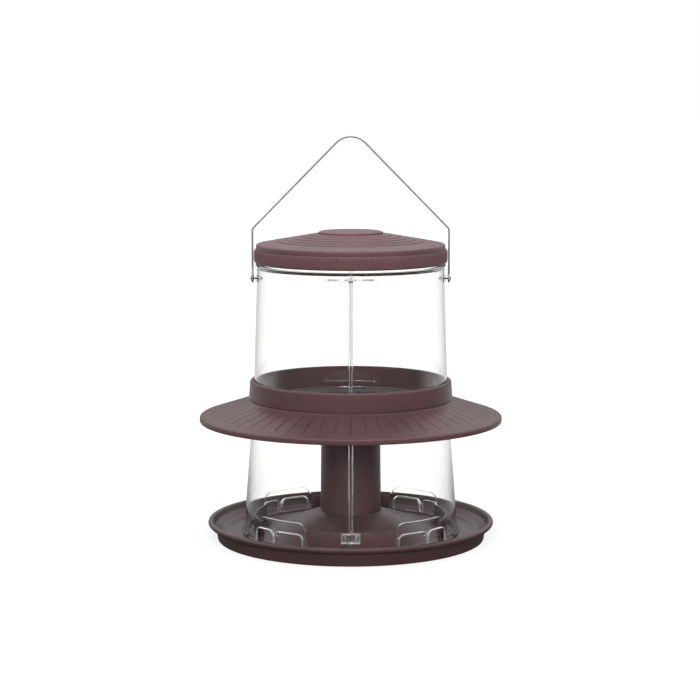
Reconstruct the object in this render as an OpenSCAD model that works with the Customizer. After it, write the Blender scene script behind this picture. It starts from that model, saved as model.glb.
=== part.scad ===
// Hanging or pole-mounted seed feeder: a clear hopper in two half shells stands in a round seed tray,
// under a conical weather baffle and a screw-on lid, and hangs from a wire bail.
// Millimetres. Origin at the middle of the tray's underside, +Z up, X along the bail's pivot axis.

/* [Tray] */
// Outer radius of the tray's rim bead
tray_r = 156.4; // [150:0.2:175]
// How far the tray's rim stands out beyond its base edge
tray_flare = 10.4; // [8:0.2:14]
// Height of the tray from its base to the top of the rim
tray_h = 21.6; // [19:0.2:30]
// Height of the tray's flat floor
floor_z = 8.5; // [7:0.5:10]
// Wall thickness of the tray
tray_t = 2.5; // [2:0.1:3]
// Distance from the tray's base edge in to the edge of its flat floor
floor_in = 7; // [6:0.5:12]
// Height of the seed cone's top above the base
cone_top_z = 31; // [26:0.5:40]
// Gap between the hopper's wall and the upstands inside it
upstand_gap = 9.4; // [6:0.2:14]
// Height of the upstands between the feeding ports
upstand_h = 18.9; // [12:0.2:24]
// Width of each upstand, in degrees round the tray
upstand_span = 50; // [40:1:52]

/* [Column] */
// Radius of the column at its foot
column_r = 33.2; // [30:0.2:38]
// How much the column narrows from its foot to its shoulder
column_draft = 0.9; // [0.4:0.1:3]
// Height of the column, from the seed cone to the top of its dome
column_h = 112; // [90:1:125]
// Wall thickness of the column
column_t = 2.2; // [1.8:0.1:3]
// Radius of the mounting pole
pole_r = 12.7; // [9:0.1:16]
// Radial clearance around the pole in its socket
pole_clear = 0.2; // [0.1:0.05:0.5]
// Length of the pole socket
socket_len = 92; // [60:1:100]
// Distance from the column's outer wall in to its screws
screw_in = 8.7; // [8:0.1:10]
// Radius of the column screws' shanks
screw_r = 1.75; // [1.5:0.05:2]

/* [Hopper] */
// Wall thickness of the clear half shells
shell_t = 2; // [1.6:0.1:2.6]
// Outer radius of the hopper just above its foot
shell_foot_r = 117.2; // [114:0.2:118]
// Outer radius of the hopper where the baffle sits
shell_waist_r = 106.6; // [104:0.2:110]
// Outer radius of the hopper at its shoulder
shell_top_r = 101.8; // [100:0.2:102.6]
// Height of the baffle's seat above the tray's base
waist_z = 152; // [140:1:170]
// Height of the hopper's shoulder above the tray's base
shoulder_z = 301; // [290:1:320]
// How far the shoulder ring stands out
shoulder_out = 1.5; // [1:0.1:2.4]
// Step in from the hopper's wall to its neck
neck_step = 4.8; // [4:0.1:6]
// Height of the neck above the shoulder
neck_h = 18; // [17:0.5:19]
// Half length of the ledges that cross each seam
ledge_half = 30; // [15:1:40]
// Depth of the flanges along each seam
flange_depth = 5; // [3:0.5:7]

/* [Feeding ports] */
// Width of the windows nearer the seams
near_window_w = 34.6; // [28:0.2:35]
// Width of the windows farther from the seams
far_window_w = 27; // [22:0.2:28]
// Width of the post between the two windows of a pair
window_post = 4; // [3.8:0.1:5]
// Height of one feeding window
window_h = 13.9; // [11:0.1:18]
// Radius of a window's upper corners
window_corner = 6; // [3:0.5:7]
// Height of the windows' sills above the tray's floor
sill_up = 1.7; // [1.5:0.1:4]
// Plan angle from the seam to the post between the windows of a pair
port_mid = 43.5; // [42:0.5:45]
// How far the lip round a window stands out
lip_out = 2.6; // [1.5:0.1:3]
// Thickness of that lip
lip_t = 1.6; // [1:0.1:2]

/* [Baffle] */
// Radius of the baffle's brim
brim_r = 165; // [155:0.5:180]
// Height of the brim's lower edge above the tray's base
brim_z = 130.6; // [125:0.2:140]
// Height of the upright edge round the brim
brim_edge_h = 6; // [4:0.2:8]
// Height of the collar above its seat
collar_h = 23; // [16:0.5:30]
// Wall thickness of the baffle
baffle_t = 2.4; // [2:0.1:3]
// Number of grooves in the brim
groove_count = 58; // [24:2:72]

/* [Lid] */
// Wall thickness of the lid ring, over its grip ribs
ring_t = 4.1; // [4:0.1:4.3]
// Height of the lid ring
ring_h = 14.6; // [14:0.2:16]
// Gap between the shoulder and the lid ring
ring_gap = 2.2; // [2:0.2:4]
// Number of grip ribs round the lid ring
rib_count = 204; // [90:6:220]
// Step in from the ring's grip ribs to the cap's plain band
band_in = 2.3; // [1.8:0.1:3]
// Height of the plain band above the ring
band_h = 5.8; // [4:0.2:7]
// Rise of the cap's cone from its band to the middle disc
cap_rise = 10.8; // [8:0.2:12]
// Radius of the middle disc
disc_r = 35; // [25:0.5:42]
// Height of the middle disc
disc_h = 3.2; // [2:0.2:4]
// Axial travel of the lid in one turn
thread_lead = 12; // [10:0.5:12.5]

/* [Bail] */
// Radius of the bail wire
wire_r = 1.15; // [1:0.05:1.25]
// Distance from the pivot boss's pad to the middle of the bail's leg
bail_gap = 3.8; // [3.7:0.1:5]
// Distance from the hopper's shoulder down to the bail's pivot
pivot_down = 15; // [14:0.5:18]
// Height of the bends above the pivot
bend_up = 54.1; // [50:0.1:60]
// Height of the bail's peak above the pivot
peak_up = 153.3; // [140:0.1:165]
// Radius of the hopper's journals that carry the bail
journal_r = 2.45; // [2.2:0.05:2.8]
// Radial clearance between a journal and the wire's eye
journal_clear = 0.05; // [0.02:0.01:0.1]

/* [Hidden] */
$fn = 96;
eps = 0.01;
touch = 0.3;               // gap left between parts that move against each other
seat_clear = 0.15;         // gap between fixed parts that slide together
slip = 0.05;               // gap round studs and pins in their holes
break_edge = 0.6;          // small chamfer on moulded edges

// hopper
foot_flange = 1.4;
foot_h = 1.2;
waist_draft = 1.3;
waist_top_r = shell_waist_r - waist_draft;
waist_top_z = waist_z + collar_h;
seat_bead = 1.5;
seat_bead_h = 2.2;
shoulder_r = shell_top_r + shoulder_out;
shoulder_t = 1.8;
neck_r = shell_top_r - neck_step;
neck_top = shoulder_z + neck_h;
shell_foot_in = shell_foot_r - shell_t;
upper_ledge_z = shoulder_z - 8.5;
lower_ledge_z = waist_z + 5.5;
ledge_t = 1.6;
flange_t = 1.9;
flange_up = 3;
wall_lap = 0.4;            // how deep added features reach into the wall they stand on

// thread between neck and lid
thread_h = 1.6;
thread_clear = 0.5;
thread_pitch = thread_lead / 2;
thread_z = shoulder_z + 1.9;
thread_r = neck_r + thread_h;
thread_step = 60;
thread_span = 44;
thread_root_half = 1.1;
thread_tip_half = 0.5;
lug_span = 26;
lug_tip_clear = 0.6;

// feeding ports
window_sill = floor_z + sill_up;
window_top = window_sill + window_h;
port_near = port_mid - asin((near_window_w + window_post) / 2 / shell_foot_r);
port_far = port_mid + asin((far_window_w + window_post) / 2 / shell_foot_r);
// plan angle and width of each window of a half
ports = [[port_near, near_window_w], [port_far, far_window_w],
         [180 - port_far, far_window_w], [180 - port_near, near_window_w]];
hood_side = 2.9;
hood_up = 12;
hood_t = 0.9;
cut_reach = 8;             // how far window cutters pass the wall on each side

// seam clips
clip_w = 20;
clip_h = 11;
clip_t = 3;
clip_rim = 1.4;
clip_rim_out = 1.6;
clip_z = floor_z + 10.1;
clip_stud_r = 2;
clip_stud_x = 5.2;

// tray
bead_r = 3;
tray_base_r = tray_r - tray_flare;
floor_r = tray_base_r - floor_in;
rim_in_r = tray_r - 2 * bead_r;
hub_r = column_r + 0.8;
pole_hole_r = pole_r + 6;
upstand_t = 2.2;
upstand_r = shell_foot_in - upstand_gap;
cone_foot_r = upstand_r - 1.8;
seat_rib_t = 1.1;
under_rib_t = 2;
under_rib_foot = 2.5;
base_skirt_t = 2.5;
hook_r = shell_foot_r + foot_flange;
hook_span = 4;
hook_h = 3.2;
hook_t = 1.8;

// column
socket_r = pole_r + pole_clear;
socket_t = 2.2;
column_top_r = column_r - column_draft;
dome_h = 9;
dome_flat_r = 9;
screw_circle_r = column_r - screw_in;
screw_count = 3;
screw_hole_clear = 0.25;
screw_boss_r = screw_r + 2.4;
screw_len = 14;
screw_bite = 11.4;
screw_head_h = 2.4;
screw_head_r = screw_r + 1.9;
screw_slot = 0.9;
web_count = 6;
web_t = 1.8;

// baffle
collar_in = shell_waist_r + seat_clear;
collar_in_top = waist_top_r + seat_clear;
collar_out = collar_in + baffle_t + 2.1;
brim_foot_z = waist_z + 1;
groove_w = 1.1;
groove_depth = 0.7;
groove_in_r = collar_out + 3.2;
groove_out_r = brim_r - 13;

// lid
ring_z = shoulder_z + ring_gap;
ring_top = ring_z + ring_h;
skirt_t = 1.7;
skirt_r = thread_r + thread_clear + skirt_t;
skirt_down = 4.2;
bead_out = 0.6;
bead_z = ring_top - skirt_down + 1.2;
ring_r = skirt_r + ring_t;
rib_h = 0.7;
cap_r = ring_r - band_in;
cap_t = 2.2;
cap_edge_z = ring_top + band_h;
disc_z = cap_edge_z + cap_rise;
disc_margin = 6;
step_count = 5;
step_depth = 0.7;
step_in_r = disc_r + 9.5;
step_out_r = cap_r - 22.6;

// bail and its pins
boss_r = 3.6;
boss_depth = 3.6;
boss_in = shell_top_r - boss_depth;
boss_web_t = 5;
pad_out = 0.9;
pivot_z = shoulder_z - pivot_down;
bail_half = shell_top_r + pad_out + bail_gap;
bend_lap = 0.3;
bend_grow = 0.03;          // bends are this much fatter than straight wire
eye_wire_r = wire_r - 0.04;
eye_r = journal_r + journal_clear + eye_wire_r;
journal_end = bail_half + wire_r + touch;
journal_lip = 0.6;
journal_lip_t = 0.7;
pin_r = 0.7;
pin_head_r = 1.3;
pin_head_t = 0.5;
pin_nut_r = 1.7;
pin_nut_t = 1.5;
pin_tail = 1;
bend_r = 6;
peak_arc_r = 22;

brown = [0.32, 0.22, 0.22];
clear = [0.85, 0.9, 0.92, 0.35];
steel = [0.66, 0.67, 0.69];

// ---- shared outlines ----

// Outer radius of the hopper wall at a height
function shell_at(z) =
    z < waist_z ? shell_foot_r + (shell_waist_r - shell_foot_r) * (z - floor_z) / (waist_z - floor_z)
    : z < waist_top_z ? shell_waist_r + (waist_top_r - shell_waist_r) * (z - waist_z) / collar_h
    : waist_top_r + (shell_top_r - waist_top_r) * min(1, (z - waist_top_z) / (pivot_z - waist_top_z));

// Corner points of the hopper's wall from foot to shoulder, moved out by d
function wall_points(d, from_z, to_z) =
    [for (z = [from_z, waist_z, waist_top_z, pivot_z, to_z])
        if (z >= from_z && z <= to_z) [shell_at(z) + d, z]];

function reversed(list) = [for (i = [len(list) - 1:-1:0]) list[i]];

// A closed band between two offsets of the hopper's wall
module wall_band(d_in, d_out, from_z, to_z)
    polygon(concat(wall_points(d_out, from_z, to_z), reversed(wall_points(d_in, from_z, to_z))));

// A half turn of an outline, on the side that side points to: 1 for +X, -1 for -X
module half_turn(side) rotate([0, 0, side > 0 ? -90 : 90]) rotate_extrude(angle = 180) children();

// A window's outline: flat sill, upright sides and a top with round corners, grown by g
module window_outline(window_w, g) {
    w = window_w + 2 * g;
    top = window_h + g;
    corner = window_corner + g;
    translate([-w / 2, -g]) square([w, top - corner + g]);
    translate([corner - w / 2, 0]) square([w - 2 * corner, top]);
    for (s = [-1, 1]) translate([s * (w / 2 - corner), top - corner]) circle(r = corner);
}

// A window's outline pushed out through the wall at angle a from the front seam, towards side
module window_prism(port, side, g)
    rotate([0, 0, side * port[0]]) translate([0, -shell_foot_in + cut_reach, window_sill]) rotate([90, 0, 0])
        linear_extrude(shell_t + 2 * cut_reach) window_outline(port[1], g);

// A straight wire between two points of the bail's plane, let into the bends at its ends
module wire(a, b) {
    d = b - a;
    translate([a[0], 0, a[1]]) rotate([0, 90 - atan2(d[1], d[0]), 0])
        translate([0, 0, -bend_lap]) cylinder(r = wire_r, h = norm(d) + 2 * bend_lap);
}

// A bent stretch of wire round a centre in the bail's plane
module wire_arc(c, r, from, sweep)
    translate([c[0], 0, c[1]]) rotate([90, 0, 0]) rotate([0, 0, from])
        rotate_extrude(angle = sweep) translate([r, 0]) circle(r = wire_r + bend_grow);

// ---- tray ----

module tray_section() {
    wall_in = rim_in_r - break_edge;
    rim_z = tray_h - break_edge;
    under_rim_z = tray_h - bead_r - 2.2;
    // outside: base skirt, side and rim; inside: sloping side, flat floor and seed cone
    polygon([
        [tray_base_r - base_skirt_t, 0], [tray_base_r - break_edge, 0], [tray_base_r, 0.8],
        [rim_in_r - 1.9, under_rim_z], [tray_r - bead_r, under_rim_z], [tray_r - bead_r, rim_z],
        [wall_in, rim_z], [wall_in - 1.4, tray_h - 2 * bead_r], [floor_r + 4.5, floor_z + 2.2],
        [floor_r, floor_z], [cone_foot_r, floor_z], [hub_r, cone_top_z],
        [pole_hole_r, cone_top_z], [pole_hole_r, cone_top_z - tray_t],
        [hub_r - 0.8, cone_top_z - tray_t], [cone_foot_r - 0.8, floor_z - tray_t],
        [tray_base_r - base_skirt_t, floor_z - tray_t]]);
    translate([tray_r - bead_r, tray_h - bead_r]) circle(r = bead_r);
    // low ribs that centre the hopper's foot
    for (r = [shell_foot_in - foot_flange - 1.3, hook_r + seat_clear])
        translate([r, floor_z - eps]) square([seat_rib_t, foot_h + eps]);
}

// Upstands that close the gaps between the groups of ports
module upstands()
    for (a = [0:90:270]) rotate([0, 0, a - 90 - upstand_span / 2]) rotate_extrude(angle = upstand_span)
        translate([upstand_r - upstand_t, floor_z - 1]) square([upstand_t, upstand_h + 1]);

// Stiffening ribs under the seed cone
module under_ribs()
    for (a = [0:60:300]) rotate([90, 0, a + 30]) translate([0, 0, -under_rib_t / 2]) linear_extrude(under_rib_t)
        polygon([[hub_r - 6, cone_top_z - tray_t + 1], [hub_r - 6, cone_top_z - 9],
                 [cone_foot_r, under_rib_foot], [tray_base_r - base_skirt_t + 0.5, under_rib_foot],
                 [tray_base_r - base_skirt_t + 0.5, floor_z - 1], [cone_foot_r, floor_z - 1]]);

// Hooks that hold the hopper's foot down
module foot_hooks()
    for (a = [72, 108, 252, 288]) rotate([0, 0, a - 90 - hook_span / 2]) rotate_extrude(angle = hook_span)
        polygon([[hook_r + touch, floor_z - eps], [hook_r + hook_t, floor_z - eps],
                 [hook_r + hook_t, floor_z + hook_h], [shell_foot_r + 0.5, floor_z + hook_h],
                 [shell_foot_r + 0.5, floor_z + foot_h + touch], [hook_r + touch, floor_z + foot_h + touch]]);

module at_screws() for (i = [0:screw_count - 1]) rotate([0, 0, i * 360 / screw_count + 90])
    translate([screw_circle_r, 0, 0]) children();

module tray() color(brown) difference() {
    union() {
        rotate_extrude() tray_section();
        upstands();
        under_ribs();
        foot_hooks();
    }
    at_screws() translate([0, 0, cone_top_z - tray_t - 1])
        cylinder(r = screw_r + screw_hole_clear, h = tray_t + 2);
}

// ---- column ----

// Side wall and the shallow cone on top that sheds the seed
module column_section() {
    top = cone_top_z + column_h;
    wall_top = top - dome_h;
    polygon([[column_r - column_t, cone_top_z], [column_r, cone_top_z], [column_top_r, wall_top],
             [column_top_r - 2, wall_top + 2.5], [dome_flat_r, top], [0, top], [0, top - column_t],
             [dome_flat_r - 1, top - column_t], [column_top_r - column_t, wall_top]]);
}

// Pole socket and its closed end
module socket_section() {
    socket_end = cone_top_z + socket_len;
    polygon([[socket_r, cone_top_z], [socket_r + socket_t, cone_top_z],
             [socket_r + socket_t, socket_end + socket_t], [0, socket_end + socket_t],
             [0, socket_end], [socket_r, socket_end]]);
}

module pole_column() color(brown) difference() {
    web_from = socket_r + socket_t / 2;
    union() {
        rotate_extrude() {
            column_section();
            socket_section();
        }
        // webs between the socket and the side wall
        for (i = [0:web_count - 1]) rotate([0, 0, (i + 0.5) * 360 / web_count])
            translate([web_from, -web_t / 2, cone_top_z + 1])
                cube([column_top_r - 0.2 - web_from, web_t, socket_len - 6]);
        at_screws() translate([0, 0, cone_top_z]) cylinder(r = screw_boss_r, h = screw_len + 2);
    }
    at_screws() translate([0, 0, cone_top_z - 1]) cylinder(r = screw_r, h = screw_len + 1.2);
}

module column_screws() color(steel) at_screws() translate([0, 0, cone_top_z - tray_t]) {
    cylinder(r = screw_r, h = tray_t + screw_bite);
    difference() {
        translate([0, 0, -screw_head_h])
            cylinder(r1 = screw_head_r - break_edge, r2 = screw_head_r, h = screw_head_h);
        for (a = [0, 90]) rotate([0, 0, a]) translate([0, 0, -screw_head_h])
            cube([2 * screw_r + 1, screw_slot, screw_head_h], center = true);
    }
}

// ---- hopper ----

// Height of the first thread at an angle along its turn
function helix_z(along) = thread_z + thread_lead * (along + thread_step / 2) / 360;

// A tilted stretch of screw thread, centred at angle a and height z, from its root radius to its tip
module thread_stretch(a, z, span, r_root, r_tip)
    translate([0, 0, z]) rotate([0, 0, a]) rotate([atan(thread_lead / (2 * PI * r_root)), 0, 0])
        rotate([0, 0, -span / 2]) rotate_extrude(angle = span)
            polygon([[r_root, -thread_root_half], [r_root, thread_root_half],
                     [r_tip, thread_tip_half], [r_tip, -thread_tip_half]]);

// Wall, foot flange, shoulder ring, neck and the bead that the baffle sits on
module hopper_section() {
    wall_band(-shell_t, 0, floor_z, shoulder_z - 2);
    translate([shell_foot_in - 0.1, floor_z]) square([shell_t + foot_flange, foot_h]);
    polygon([[shell_top_r - shell_t, shoulder_z - shoulder_t - 2.5],
             [shell_top_r, shoulder_z - shoulder_t - 0.6], [shoulder_r, shoulder_z - shoulder_t],
             [shoulder_r, shoulder_z], [neck_r, shoulder_z],
             [neck_r, neck_top], [neck_r - shell_t, neck_top], [neck_r - shell_t, shoulder_z - 2]]);
    translate([shell_waist_r - wall_lap, waist_z - seat_bead_h]) square([seat_bead + wall_lap, seat_bead_h]);
}

// Flanges along both seams
module seam_flanges(side)
    for (s = [0, 1]) mirror([0, s, 0]) translate([side > 0 ? 0 : -flange_t, 0, 0])
        rotate([90, 0, 90]) linear_extrude(flange_t) mirror([1, 0])
            wall_band(-shell_t - flange_depth, -shell_t + wall_lap, floor_z + flange_up, upper_ledge_z);

// Ledges across both seams
module seam_ledges(side)
    for (z = [lower_ledge_z, upper_ledge_z], s = [0, 1]) mirror([0, s, 0]) intersection() {
        r = shell_at(z) - shell_t;
        chord = sqrt(pow(r, 2) - pow(ledge_half, 2));
        translate([0, 0, z]) cylinder(r = r + wall_lap, h = ledge_t);
        translate([side > 0 ? 0 : -ledge_half, chord, z - 1]) cube([ledge_half, r, ledge_t + 2]);
    }

// Raised panels round each pair of windows, and the lips round the windows
module port_frames(side) {
    start = port_near - asin((near_window_w / 2 + hood_side) / shell_foot_r);
    span = port_far + asin((far_window_w / 2 + hood_side) / shell_foot_r) - start;
    for (from = [start, 180 - start - span])
        rotate([0, 0, side > 0 ? from - 90 : -from - span - 90]) rotate_extrude(angle = span)
            wall_band(-wall_lap, hood_t, floor_z + foot_h, window_top + hood_up);
    for (port = ports) intersection() {
        window_prism(port, side, lip_t);
        half_turn(side) wall_band(-wall_lap, lip_out, window_sill, window_top + lip_t + 1);
    }
}

// Pivot boss with its outer pad and web, and the lipped journal that the bail's eye turns on
module pivot_boss(side) {
    translate([side * boss_in, 0, pivot_z]) rotate([0, side * 90, 0]) {
        cylinder(r = boss_r, h = boss_depth + pad_out);
        cylinder(r = journal_r, h = journal_end - boss_in + eps);
        translate([0, 0, journal_end - boss_in])
            cylinder(r1 = journal_r + journal_lip, r2 = journal_r + 0.2, h = journal_lip_t);
    }
    translate([side > 0 ? boss_in : -shell_top_r + 1, -boss_web_t / 2, pivot_z])
        cube([boss_depth - 1, boss_web_t, shoulder_z - shoulder_t - 1 - pivot_z]);
}

module hopper_half(side) difference() {
    union() {
        half_turn(side) hopper_section();
        seam_flanges(side);
        seam_ledges(side);
        port_frames(side);
        pivot_boss(side);
        // interrupted thread round the neck
        for (s = [0, 1], k = [0:360 / thread_step - 1]) {
            a = 180 * s + thread_step * k;
            if ((side > 0) == (cos(a) > 0))
                thread_stretch(a, helix_z(thread_step * k), thread_span, neck_r - 0.5, thread_r);
        }
        // studs that carry the seam clips
        for (s = [-1, 1]) translate([side * clip_stud_x, 0, clip_z + clip_h / 2]) rotate([s * 90, 0, 0])
            translate([0, 0, shell_at(clip_z) - shell_t])
                cylinder(r = clip_stud_r, h = shell_t + clip_t + break_edge);
    }
    for (port = ports) window_prism(port, side, 0);
    translate([side * (boss_in - 1), 0, pivot_z]) rotate([0, side * 90, 0])
        cylinder(r = pin_r + slip, h = journal_end + journal_lip_t - boss_in + 2);
}

module hopper_left() color(clear) hopper_half(-1);

module hopper_right() color(clear) hopper_half(1);

module seam_clips() color(clear) for (s = [0, 1]) mirror([0, s, 0]) difference() {
    y = -shell_at(clip_z) - seat_clear;
    union() {
        translate([-clip_w / 2, y - clip_t, clip_z]) cube([clip_w, clip_t, clip_h]);
        // raised rim along the top and bottom
        for (z = [clip_z, clip_z + clip_h - clip_rim]) translate([-clip_w / 2, y - clip_t - clip_rim_out, z])
            cube([clip_w, clip_rim_out + eps, clip_rim]);
    }
    for (x = [-clip_stud_x, clip_stud_x])
        translate([x, y + 1, clip_z + clip_h / 2]) rotate([90, 0, 0])
            cylinder(r = clip_stud_r + slip, h = clip_t + 3);
}

// ---- baffle ----

// Collar round the hopper, and the conical brim with its upright edge
module baffle_section() {
    polygon([
        [collar_in, waist_z + eps], [collar_in_top, waist_top_z],
        [collar_in_top + 1.2, waist_top_z + break_edge],
        [collar_out - 2.2, waist_top_z + 0.2], [collar_out - 1.4, waist_top_z - 1.2],
        [collar_out, waist_z + 3], [collar_out + 1.6, brim_foot_z],
        [brim_r - 1.6, brim_z + brim_edge_h], [brim_r, brim_z + brim_edge_h - 0.8], [brim_r, brim_z],
        [brim_r - 1.8, brim_z], [brim_r - 2.2, brim_z + brim_edge_h - baffle_t],
        [collar_out + 1.6, brim_foot_z - baffle_t], [shell_waist_r + seat_bead + touch, brim_foot_z - baffle_t],
        [shell_waist_r + seat_bead + touch, waist_z + eps]]);
}

module baffle() color(brown) {
    brim_angle = atan2(brim_foot_z - brim_z - brim_edge_h, brim_r - collar_out - 3.2);
    difference() {
        rotate_extrude() baffle_section();
        // radial grooves
        for (i = [0:groove_count - 1]) rotate([0, 0, (i + 0.5) * 360 / groove_count])
            translate([groove_in_r, 0, brim_foot_z - 1.6 * tan(brim_angle)]) rotate([0, brim_angle, 0])
                translate([0, -groove_w / 2, -groove_depth])
                    cube([groove_out_r - groove_in_r, groove_w, groove_depth + 1.3]);
    }
}

// ---- lid ----

// Cone with concentric steps, from the plain band to the middle disc
module cap_cone_section() {
    slope = cap_rise / (cap_r - 1.2 - disc_r - disc_margin);
    step_w = (step_out_r - step_in_r) / (step_count - 1);
    under_z = ring_top + touch;
    difference() {
        polygon([
            [0, disc_z - cap_t], [disc_r, disc_z - cap_t], [cap_r - cap_t, cap_edge_z - cap_t],
            [cap_r - cap_t, under_z], [cap_r - 0.5, under_z], [cap_r, under_z + 0.5],
            [cap_r, cap_edge_z - 1.2], [cap_r - 1.2, cap_edge_z], [disc_r + disc_margin, disc_z], [0, disc_z]]);
        for (i = [0:step_count - 1]) {
            r = step_in_r + i * step_w;
            z = disc_z - (r - disc_r - disc_margin) * slope;
            polygon([[r, z - step_depth], [r + step_w * 0.55, z - step_depth - 0.2],
                     [r + step_w * 0.55, z + 1], [r, z + 1]]);
        }
    }
}

// Skirt that the ring turns on, with its retaining bead
module cap_skirt_section() polygon([
    [skirt_r - skirt_t, ring_top - skirt_down], [skirt_r, ring_top - skirt_down],
    [skirt_r, bead_z - bead_out], [skirt_r + bead_out, bead_z], [skirt_r + bead_out, bead_z + bead_out],
    [skirt_r, bead_z + 2 * bead_out], [skirt_r, ring_top + touch], [skirt_r, cap_edge_z - cap_t + 0.6],
    [skirt_r - skirt_t, cap_edge_z - cap_t + 0.8]]);

module lid_cap() color(brown) rotate_extrude() {
    cap_cone_section();
    polygon([[0, disc_z - eps], [disc_r, disc_z - eps], [disc_r, disc_z + disc_h - 1.2],
             [disc_r - 1.2, disc_z + disc_h - 0.2], [disc_r - 3, disc_z + disc_h], [0, disc_z + disc_h]]);
    cap_skirt_section();
    // land that closes on the neck's rim
    translate([neck_r - shell_t - 0.2, neck_top + touch])
        square([shell_t, cap_edge_z - neck_top - touch - 1]);
}

// Ring wall inside the roots of its grip ribs
module ring_section() polygon([
    [skirt_r - 1, ring_z], [ring_r - 2.6, ring_z], [ring_r - 1.4, ring_z + 0.5],
    [ring_r - rib_h - 0.1, ring_z + 1.6], [ring_r - rib_h - 0.1, ring_top - 0.8],
    [ring_r - 1.3, ring_top], [skirt_r - 1, ring_top]]);

// Bore of the ring, with the groove round the cap's retaining bead
module ring_bore_section() {
    bore = skirt_r + 0.1;
    groove = skirt_r + bead_out + touch;
    square([bore, ring_top + 1]);
    polygon([[skirt_r - 1, bead_z - 1], [bore, bead_z - 1], [groove, bead_z - touch],
             [groove, bead_z + bead_out + touch], [bore, bead_z + 1.6], [skirt_r - 1, bead_z + 1.6]]);
}

module lid_ring() color(brown) {
    tooth = 360 / rib_count;
    difference() {
        union() {
            // grip ribs
            translate([0, 0, ring_z + 1.6]) linear_extrude(ring_h - 2.4)
                polygon([for (i = [0:rib_count - 1], t = [[0, ring_r], [0.5, ring_r - rib_h]])
                    let (a = (i + t[0]) * tooth) [t[1] * cos(a), t[1] * sin(a)]]);
            rotate_extrude() ring_section();
        }
        rotate_extrude() ring_bore_section();
    }
    // thread lugs that run midway between the neck's thread stretches
    for (a = [30:90:300]) {
        z = helix_z(a) + thread_pitch / 2 - (a > 180 ? thread_pitch : 0);
        thread_stretch(a, z, lug_span, skirt_r + 0.6, neck_r + lug_tip_clear);
    }
}

// ---- bail ----

module bail() color(steel) {
    peak = pivot_z + peak_up;
    bend = pivot_z + bend_up;
    // the slopes run from the bends and touch the peak's arc
    corner = [bail_half, bend];
    arc_c = [0, peak - peak_arc_r];
    slope = atan2(arc_c[1] - bend, bail_half) + asin(peak_arc_r / norm(corner - arc_c));
    tangent = arc_c + peak_arc_r * [sin(slope), cos(slope)];
    cut = bend_r * tan((90 - slope) / 2);
    for (turn = [0, 180]) rotate([0, 0, turn]) {
        wire([bail_half, pivot_z + eye_r], [bail_half, bend - cut]);
        wire_arc([bail_half - bend_r, bend - cut], bend_r, 0, 90 - slope);
        wire(corner + cut * [-cos(slope), sin(slope)], tangent);
        translate([bail_half, 0, pivot_z]) rotate([0, 90, 0]) rotate_extrude()
            translate([eye_r, 0]) circle(r = eye_wire_r);
    }
    wire_arc(arc_c, peak_arc_r, 90 - slope, 2 * slope);
}

// Thin pins through the journals, each with a flat head outside and a push nut inside
module bail_pins() color(steel)
    for (side = [-1, 1]) translate([side * boss_in, 0, pivot_z]) rotate([0, side * 90, 0]) {
        head_at = journal_end + journal_lip_t - boss_in + slip;
        tail = slip + pin_nut_t + pin_tail;
        translate([0, 0, -tail]) cylinder(r = pin_r, h = head_at + tail + slip);
        translate([0, 0, -slip - pin_nut_t]) cylinder(r = pin_nut_r, h = pin_nut_t);
        translate([0, 0, head_at]) cylinder(r1 = pin_head_r, r2 = pin_head_r - 0.3, h = pin_head_t);
    }

tray();
pole_column();
column_screws();
hopper_left();
hopper_right();
seam_clips();
baffle();
lid_cap();
lid_ring();
bail();
bail_pins();
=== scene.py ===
"""Hanging seed feeder: clear two-part hopper, brown tray, weather baffle, screw-on lid and wire bail.

Sizes are in millimetres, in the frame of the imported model, and turn into metres where a mesh is made.
Plan angles are measured from the front seam, at -Y, towards +X.
"""
from math import acos, asin, atan2, cos, degrees, dist, hypot, pi, radians, sin, sqrt, tan

import bpy
import numpy as np
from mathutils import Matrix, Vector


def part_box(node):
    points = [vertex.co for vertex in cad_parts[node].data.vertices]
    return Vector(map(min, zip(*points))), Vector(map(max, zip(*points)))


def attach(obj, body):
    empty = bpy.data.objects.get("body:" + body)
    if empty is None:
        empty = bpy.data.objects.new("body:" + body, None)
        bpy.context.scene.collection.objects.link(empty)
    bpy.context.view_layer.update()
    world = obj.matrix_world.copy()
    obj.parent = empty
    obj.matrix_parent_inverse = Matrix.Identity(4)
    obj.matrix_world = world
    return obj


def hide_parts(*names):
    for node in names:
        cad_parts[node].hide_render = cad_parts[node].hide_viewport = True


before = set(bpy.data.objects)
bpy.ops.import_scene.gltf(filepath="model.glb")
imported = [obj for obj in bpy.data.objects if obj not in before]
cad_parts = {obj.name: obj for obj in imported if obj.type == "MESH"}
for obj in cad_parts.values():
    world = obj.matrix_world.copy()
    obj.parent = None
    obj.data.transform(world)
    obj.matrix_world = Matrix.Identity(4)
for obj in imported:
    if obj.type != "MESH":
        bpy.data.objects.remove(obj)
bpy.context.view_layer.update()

MM = 0.001


def node_box(node):
    """Lowest and highest corner of a CAD node, in millimetres."""
    low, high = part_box(node)
    return [v / MM for v in low], [v / MM for v in high]


# ---- driving sizes, from the frame ----

_, (TRAY_R, _, CONE_TOP) = node_box("tray")
_, (COLUMN_R, _, COLUMN_TOP) = node_box("pole_column")
(_, _, BRIM_Z), (BRIM_R, _, COLLAR_TOP) = node_box("baffle")
(_, _, RING_Z), (RING_R, _, RING_TOP) = node_box("lid_ring")
_, (CAP_R, _, CAP_TOP) = node_box("lid_cap")
(_, _, FLOOR_Z), (_, _, NECK_TOP) = node_box("hopper_right")
_, (_, _, BAIL_TOP) = node_box("bail")
(_, _, CLIP_Z), (CLIP_HALF, _, CLIP_TOP) = node_box("seam_clips")
(_, _, PINS_Z), (_, _, PINS_TOP) = node_box("bail_pins")
PIVOT_Z = (PINS_Z + PINS_TOP) / 2

# ---- sizes of the mouldings ----

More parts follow.
